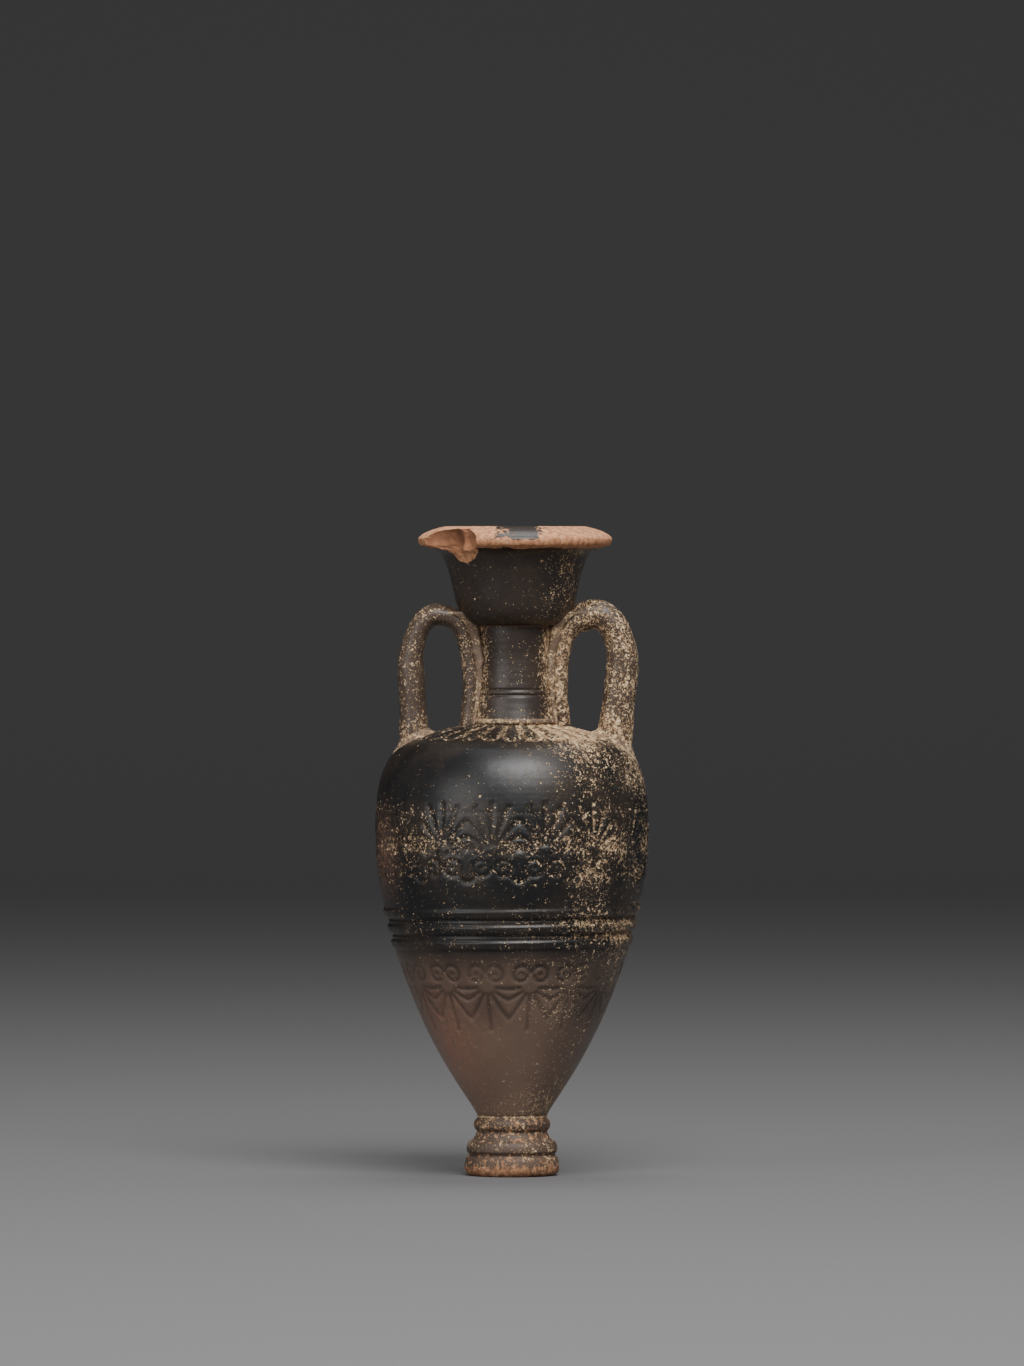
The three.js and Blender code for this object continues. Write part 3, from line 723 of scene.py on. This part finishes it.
def make_foot():
    top = low("belly") + FOOT_SOCKET
    rest_inner, rest_outer = FOOT_REST_RADII
    profile = outline(
        FOOT_HOLLOW,
        corner(FOOT_HOLLOW[-1], (6.6, 0), (rest_inner, 0), 3),
        mouldings((rest_outer, 0), [*FOOT_MOULDINGS, ((9.5, 16.0), (FOOT_TOP_RADIUS, top), 4)]),
        [(8.0, top), (1.0, top - 0.5)],
    )
    azimuth, radius, level, x, y, points = turned_grid(subdivided(profile, 0.5), FOOT_AROUND)
    hand = 0.06 * noise(x, y, level, 7) + 0.03 * noise(x, y, level, 2.2) - 0.05
    grown = radius + hand * smoothstep(radius, 7, 9) * smoothstep(level, 0.1, 1.0)
    patches = 0.5 + 0.5 * noise(x, y, level, 4)
    fields = {
        "soil": np.clip(0.24 + 0.26 * patches, 0, 1),
        "bare": 0.42 + 0.45 * (1 - smoothstep(level, 1.0, 3.4)) - 0.35 * bump(level, 7.8, 1.6) * patches,
        "brown": 0.25,
        "red": 0.0,
    }
    grid_piece("foot_skin", points(grown, level), fields, True, foot_slip, ["foot"])


# Luting rings


def ring_piece(node, radius, base, height, shift, bulge, material=lute_clay, soil=0.62, red=0.0):
    """A proud, uneven ring of luting clay round a turned joint."""
    section = full_turn(LUTE_SECTION)[0]
    profile = np.stack((radius + bulge * np.cos(section), base + height * np.sin(section)), axis=-1)
    azimuth, radii, level, x, y, points = turned_grid(profile, LUTE_AROUND, shift)
    uneven = 0.14 * noise(x, y, level, 3) + 0.08 * noise(x, y, level, 1.2)
    fields = {
        "soil": soil + 0.25 * noise(x, y, level, 5),
        "bare": 0.4,
        "brown": 0.4,
        "red": red * noise(x, y, level, 4),
    }
    grid_piece(f"{node}_skin", points(radii + uneven, level), fields, False, material, [node])


# Neck


def neck_radius(level):
    rise = level - NECK_BASE
    waist = NECK_RADIUS + (NECK_BASE_RADIUS - NECK_RADIUS) * np.clip(1 - rise / NECK_WAIST, 0, 1) ** 1.9
    return waist + (NECK_TOP_RADIUS - NECK_RADIUS) * smoothstep(rise, NECK_WAIST, NECK_FLARE)


def make_neck():
    levels = np.linspace(NECK_BASE - 0.6, MOUTH_BASE + 0.5, 110)
    outside = np.stack((neck_radius(levels), levels), axis=-1)
    inside = np.stack((np.full(8, BORE_RADIUS), np.linspace(levels[-1], levels[0], 8)), axis=-1)
    profile = outline(outside, inside)
    azimuth, radius, level, x, y, points = turned_grid(profile, NECK_AROUND, NECK_SHIFT)
    outer = smoothstep(radius, BORE_RADIUS + 1, BORE_RADIUS + 2)
    cuts = sum(groove(level - NECK_BASE - height, NECK_GROOVE_WIDTH) for height in NECK_GROOVES)
    hand = 0.07 * noise(x, y, level, 6) + 0.01 * np.sin(level * 3.1)
    grown = radius + outer * (hand - NECK_GROOVE_DEPTH * cuts)
    right = smoothstep(np.degrees(azimuth), -5, 60)
    patches = 0.5 + 0.5 * noise(x, y, level, 5)
    foot = 1 - smoothstep(level - NECK_BASE, 1, 5)
    sides = smoothstep(np.abs(np.sin(azimuth)), 0.55, 0.95)
    fields = {
        "soil": np.clip(0.22 + 0.14 * right * patches + 0.10 * foot + 0.26 * sides + 0.06 * patches, 0, 0.9),
        "bare": 0.12 * cuts,
        "brown": 0.12,
        "red": 0.0,
    }
    grid_piece("neck_skin", points(grown, level), fields, False, black_slip, ["neck"])


# Mouth


def mouth_outline():
    base = MOUTH_BASE - 0.1
    corner_level = MOUTH_BASE + LIP_CORNER
    bowl = (15.2, base + 3.2)
    waist = (17.7, MOUTH_BASE + 11.2)
    flare = (20.4, MOUTH_BASE + 19.2)
    lip_corner = (26.0, corner_level)
    lip_edge = (LIP_RADIUS, MOUTH_BASE + LIP_EDGE)
    lip_top = (19.2, RIM_LEVEL)
    outside = outline(
        corner((11.3, base - 0.2), (13.6, base + 0.2), bowl, 12),
        wall(bowl, 32, 0.3, waist, 13, 0.4, 14),
        wall(waist, 13, 0.4, flare, 30, 0.3, 14),
        corner(flare, (21.4, corner_level - 0.8), lip_corner, 12),
        corner(lip_corner, (LIP_RADIUS, corner_level + 0.2), lip_edge, 7),
        corner(lip_edge, (LIP_RADIUS - 0.2, RIM_LEVEL - 1.3), lip_top, 20),
        corner(lip_top, (17.2, RIM_LEVEL), (16.9, RIM_LEVEL - 2.6), 9),
    )
    inside = wall(tuple(outside[-1]), 190, 0.45, (BORE_RADIUS, MOUTH_BASE), 215, 0.35, 26)
    return outline(outside, inside, [(BORE_RADIUS, base - 0.2)])


def make_mouth():
    profile = subdivided(mouth_outline(), 0.55)
    azimuth, radius, level, x, y, points = turned_grid(profile, MOUTH_AROUND, NECK_SHIFT)
    side = np.degrees(azimuth)
    rise = level - MOUTH_BASE
    hand = 0.10 * noise(x, y, level, 12) + 0.06 * noise(x, y, level, 3)
    grown = radius + np.where(radius > 25, -np.abs(hand), hand)

    deep, long, tall = SPALL_SIZE
    along = np.radians(side - SPALL_AZIMUTH) * LIP_RADIUS
    ragged = 1 + 0.22 * noise(x, y, level, 5) - 0.25 * bump(along, 2.5, 1.8)
    left = 1 - (along / long) ** 2 - ((rise - LIP_CORNER - 1) / tall) ** 2
    floor = LIP_RADIUS - deep * np.sqrt(np.clip(left, 0, 1)) * ragged + 0.25 * noise(x, y, level, 1.6)
    lip_side = radius > 18
    broken = (left > 0) & lip_side & (grown > floor)
    shown = np.where(broken, floor, grown)
    flake_long, flake_tall = FLAKE_SIZE
    flake = 1 - ((along - FLAKE_ASIDE) / flake_long) ** 2 - ((rise - FLAKE_RISE) / flake_tall) ** 2
    flaked = smoothstep(flake + 0.3 * noise(x, y, level, 3), 0, 0.2) * lip_side

    edge = 0.5 + 0.5 * noise(x, y, level, 3.5)
    lip = smoothstep(rise + 1.2 * (edge - 0.5), LIP_CORNER - 1.4, LIP_CORNER + 0.2)
    lip = lip * smoothstep(radius, 16.5, 18)
    remnant = bump(side, 2, 19) * smoothstep(rise, LIP_CORNER + 0.8, LIP_EDGE + 0.8) * (0.5 + 0.8 * edge)
    right = smoothstep(side, 0, 55)
    under = smoothstep(rise, 14, 21) * (radius < 26)
    soil = np.clip(0.23 + 0.30 * right * edge + 0.16 * under * (0.4 + right) * edge, 0, 0.8)
    bare = np.clip(lip * (1.0 - 0.95 * remnant), 0, 1)
    fields = {
        "soil": soil * (1 - 0.75 * lip),
        "bare": np.where(broken, 0.9, np.maximum(bare, flaked)),
        "brown": 0.1,
        "red": 0.0,
        # Where the lip is broken, its clay is painted darker as shade
        "break_shade": 0.85 * broken,
    }
    grid_piece("mouth_skin", points(shown, level), fields, False, lip_slip, ["mouth"])


# Handles


def shoulder_level(reach):
    """Level of the belly's shoulder at a distance from its axis."""
    curve = shoulder_curve()
    return np.interp(reach, curve[::-1, 0], curve[::-1, 1])


def spline(stations, steps):
    """A centripetal curve through stations, as evenly spaced points and their directions."""
    stations = np.array(stations, float)
    ends = (2 * stations[0] - stations[1], 2 * stations[-1] - stations[-2])
    knots = np.vstack((ends[0], stations, ends[1]))
    times = lengths_along(knots, 0.5)
    dense = []
    for i in range(1, len(knots) - 2):
        t0, t1, t2, t3 = times[i - 1 : i + 3]
        p0, p1, p2, p3 = knots[i - 1 : i + 3]
        t = np.linspace(t1, t2, 24, endpoint=False)[:, None]
        a1 = (t1 - t) / (t1 - t0) * p0 + (t - t0) / (t1 - t0) * p1
        a2 = (t2 - t) / (t2 - t1) * p1 + (t - t1) / (t2 - t1) * p2
        a3 = (t3 - t) / (t3 - t2) * p2 + (t - t2) / (t3 - t2) * p3
        b1 = (t2 - t) / (t2 - t0) * a1 + (t - t0) / (t2 - t0) * a2
        b2 = (t3 - t) / (t3 - t1) * a2 + (t - t1) / (t3 - t1) * a3
        dense.append((t2 - t) / (t2 - t1) * b1 + (t - t1) / (t2 - t1) * b2)
    dense = np.vstack((*dense, stations[-1:]))
    length = lengths_along(dense)
    even = np.linspace(0, length[-1], steps)
    points = np.stack([np.interp(even, length, dense[:, i]) for i in range(2)], axis=-1)
    travel = np.gradient(points, axis=0)
    return points, travel / np.linalg.norm(travel, axis=1)[:, None]


def handle_line(handle, steps):
    """From the root on the shoulder, up and over, and down along the neck."""
    neck = NECK_RADIUS + handle["side"] * NECK_SHIFT + 1 + NECK_LIMB_THICKNESS / 2
    spring, crown = SHOULDER_TOP + HANDLE_SPRING, SHOULDER_TOP + HANDLE_CROWN
    haunch, lowest = spring + 0.8 * (crown - spring), SHOULDER_TOP + HANDLE_SPRING / 3
    root, limb, top = handle["root"], handle["limb"], handle["crown"]
    stations = [
        (root, shoulder_level(root) - 2.2),
        (root + 0.6 * (limb - root), lowest),
        (limb, spring),
        (limb + 0.45 * (top - limb), haunch),
        (top, crown),
        (top + 0.65 * (neck - top), haunch),
        (neck, spring),
        (neck - 0.6, lowest),
        (neck + 0.2, SHOULDER_TOP - 0.8),
    ]
    return spline(stations, steps)


def make_handle(name, handle):
    side = handle["side"]
    line, travel = handle_line(handle, HANDLE_ALONG)
    share = np.linspace(0, 1, len(line))[:, None]
    turn = full_turn(HANDLE_AROUND)
    arch, neck = smoothstep(share, 0.25, 0.45), smoothstep(share, 0.58, 0.7)
    root = 1 - smoothstep(share, 0.0, 0.16)
    limb = handle["limb_thick"] * (1 + 0.14 * root)
    thickness = (limb + (handle["arch_thick"] - limb) * arch) * (1 - neck) + NECK_LIMB_THICKNESS * neck
    depth = HANDLE_DEPTH * (1 + 0.1 * root) * (1 - neck) + NECK_LIMB_DEPTH * neck
    rolled = 1 + 0.035 * noise(share * 60, turn * 0, turn * 0 + side * 9, 9)
    across = np.cos(turn) * thickness / 2 * rolled
    reach = line[:, :1] + travel[:, 1:] * across
    level = line[:, 1:] - travel[:, :1] * across
    y = np.sin(turn) * depth / 2 * rolled
    uneven = 0.18 * noise(reach, y, level, 4) + 0.08 * noise(reach, y, level, 1.5)
    reach = reach + travel[:, 1:] * np.cos(turn) * uneven
    level = level - travel[:, :1] * np.cos(turn) * uneven
    y = y + np.sin(turn) * uneven
    points = np.stack((side * reach, y * side, level), axis=-1)
    patches = 0.5 + 0.5 * noise(points[..., 0], y, level, 5)
    ends = np.clip(root * 1.2, 0, 1) + 0.5 * neck
    fields = {
        "soil": np.clip(handle["soil"] + 0.16 * (patches - 0.3) + 0.14 * ends, 0, 0.9),
        "bare": 0.06 + 0.22 * patches * (side > 0),
        "brown": 0.25,
        "red": 0.0,
    }
    grid_piece(f"{name}_handle_skin", points, fields, True, handle_slip, [f"{name}_handle"])


def make_root_lute(name, handle):
    """Clay drawn down the handle and out over the shoulder, as a fillet that is buried on its inside."""
    side = handle["side"]
    turn = full_turn(ROOT_LUTE_AROUND)
    share = np.linspace(0, 1, 26)[:, None]
    line, _ = handle_line(handle, 400)
    rising = line[: np.argmax(line[:, 1])]
    half_thick, half_depth = handle["limb_thick"] * 0.55, HANDLE_DEPTH * 0.54

    def around(out, above):
        """Points round the handle, at a distance out from its surface and above the shoulder."""
        middle = np.interp(shoulder_level(handle["root"]) + above, rising[:, 1], rising[:, 0])
        reach = middle + np.cos(turn) * (half_thick + out)
        y = np.sin(turn) * (half_depth + out)
        ground = shoulder_level(np.clip(np.hypot(reach, y), SHOULDER_TOP_RADIUS, BELLY_RADIUS - 0.4))
        return reach, y, ground + above

    climb = 4.6 + 1.2 * noise(np.cos(turn) * 3, np.sin(turn) * 3, turn * 0 + 31, 2)
    spread = 3.0 + 1.0 * noise(np.cos(turn) * 3, np.sin(turn) * 3, turn * 0 + 57, 2)
    front = around(-0.9 + (spread + 0.9) * share**1.7, climb * (1 - share) ** 2 - 0.35 * share**6)
    back = around(np.array([-1.5, -2.2])[:, None] + 0 * turn, np.array([-1.4, 1.6])[:, None] + 0 * turn)
    reach, y, level = (np.vstack(pair) for pair in zip(front, back))
    lumps = 0.16 * noise(reach, y, level, 2.6) + 0.1 * noise(reach, y, level, 1.1)
    points = np.stack((side * reach, side * y, level + lumps), axis=-1)[::-1]
    patches = 0.5 + 0.5 * noise(reach, y, level, 3)
    soil = np.clip(handle["root_soil"] + 0.22 * patches, 0, 1)[::-1]
    fields = {"soil": soil, "bare": 0.45, "brown": 0.5, "red": 0.0}
    lute = f"{name}_handle_shoulder_lute"
    grid_piece(f"{lute}_skin", points, fields, False, lute_clay, [lute])


def make_neck_lute(name, handle):
    """Clay pressed into the crease on both sides of the limb that lies along the neck."""
    side = handle["side"]
    rise = np.linspace(-0.6, 31, 90)[:, None]
    turn = full_turn(NECK_LUTE_AROUND)
    line, _ = handle_line(handle, 400)
    falling = line[np.argmax(line[:, 1]) :][::-1]
    limb = np.interp(SHOULDER_TOP + rise, falling[:, 1], falling[:, 0])
    neck = neck_radius(SHOULDER_TOP + rise) + side * NECK_SHIFT
    inner = neck - 1.0 + 1.5 * smoothstep(rise, 26, 31)
    outer = np.maximum(limb - 0.6, inner + 1.2)
    flare = 1 + 0.35 * (1 - smoothstep(rise, 0, 4)) + 0.2 * smoothstep(rise, 20, 27)
    wide = (NECK_LIMB_DEPTH / 2 + 0.3 + 0.5 * noise(rise, turn * 0, turn * 0 + side, 3)) * flare
    across = np.cos(turn)
    reach = (inner + outer) / 2 + np.sign(across) * np.abs(across) ** 0.7 * (outer - inner) / 2
    y = np.sin(turn) * (wide - 0.9 * across)
    lumps = 0.22 * noise(reach, y, rise + 60, 2.4) + 0.14 * noise(reach, y, rise + 60, 1.1)
    level = SHOULDER_TOP + rise + 0 * turn
    points = np.stack((side * (reach + lumps), side * y, level), axis=-1)
    soil = handle["neck_soil"] - 0.12 + 0.22 * noise(reach, y, level, 3)
    fields = {"soil": soil, "bare": 0.35, "brown": 0.5, "red": 0.0}
    lute = f"{name}_handle_neck_lute"
    grid_piece(f"{lute}_skin", points, fields, True, lute_clay, [lute])


make_belly()
make_foot()
ring_piece("foot_lute", STEM_RADIUS - 0.35, BELLY_BASE - 0.3, 0.55, 0, 0.35)
make_neck()
ring_piece("shoulder_lute", NECK_BASE_RADIUS - 0.35, NECK_BASE + 0.1, 0.8, NECK_SHIFT, 0.75)
ring_piece("mouth_lute", NECK_TOP_RADIUS - 0.2, MOUTH_BASE - 0.3, 0.5, NECK_SHIFT, 0.6, seam_clay, 0.2, 1.0)
make_mouth()
for handle_name, handle_sizes in HANDLES.items():
    make_handle(handle_name, handle_sizes)
    make_root_lute(handle_name, handle_sizes)
    make_neck_lute(handle_name, handle_sizes)


# Floor, light and camera


def make_floor():
    """A grey floor that turns up into a wall behind the jar."""
    front, back, half, bend, top, steps = -5.0, 2.4, 5.0, 1.4, 5.0, 24
    profile = [(front, 0.0)]
    for i in range(steps + 1):
        turn = i / steps * math.pi / 2
        profile.append((back + bend * math.sin(turn), bend * (1 - math.cos(turn))))
    profile.append((back + bend, top))
    vertices = [(x, y, z) for y, z in profile for x in (-half, half)]
    faces = [(2 * i, 2 * i + 1, 2 * i + 3, 2 * i + 2) for i in range(len(profile) - 1)]
    mesh = bpy.data.meshes.new("floor")
    mesh.from_pydata(vertices, [], faces)
    mesh.polygons.foreach_set("use_smooth", [True] * len(mesh.polygons))
    floor = bpy.data.objects.new("floor", mesh)
    bpy.context.scene.collection.objects.link(floor)
    material = bpy.data.materials.new("floor_grey")
    material.use_nodes = True
    shader = material.node_tree.nodes["Principled BSDF"]
    shader.inputs["Base Color"].default_value = FLOOR_COLOUR
    shader.inputs["Roughness"].default_value = FLOOR_ROUGHNESS
    mesh.materials.append(material)


def make_light(name, place, size, power):
    data = bpy.data.lights.new(name, "AREA")
    data.shape = "DISK"
    data.size = size
    data.energy = power
    light = bpy.data.objects.new(name, data)
    light.location = place
    aim = Vector(LIGHTS_AIM) - light.location
    light.rotation_euler = aim.to_track_quat("-Z", "Y").to_euler()
    bpy.context.scene.collection.objects.link(light)


def make_world():
    world = bpy.data.worlds.new("studio")
    world.use_nodes = True
    background = world.node_tree.nodes["Background"]
    background.inputs["Color"].default_value = WORLD_COLOUR
    background.inputs["Strength"].default_value = WORLD_STRENGTH
    bpy.context.scene.world = world


def make_camera():
    """Almost level with the rim and far off, as the photograph was taken."""
    data = bpy.data.cameras.new("camera")
    data.sensor_fit = "VERTICAL"
    data.sensor_height = SENSOR_HEIGHT
    data.lens = CAMERA_LENS
    data.clip_end = 50
    camera = bpy.data.objects.new("camera", data)
    camera.location = CAMERA_PLACE
    camera.rotation_euler = (math.radians(90 - CAMERA_DIP), 0, 0)
    bpy.context.scene.collection.objects.link(camera)
    bpy.context.scene.camera = camera


make_floor()
for light_name, (light_place, light_size, light_power) in LIGHTS.items():
    make_light(light_name, light_place, light_size, light_power)
make_world()
make_camera()
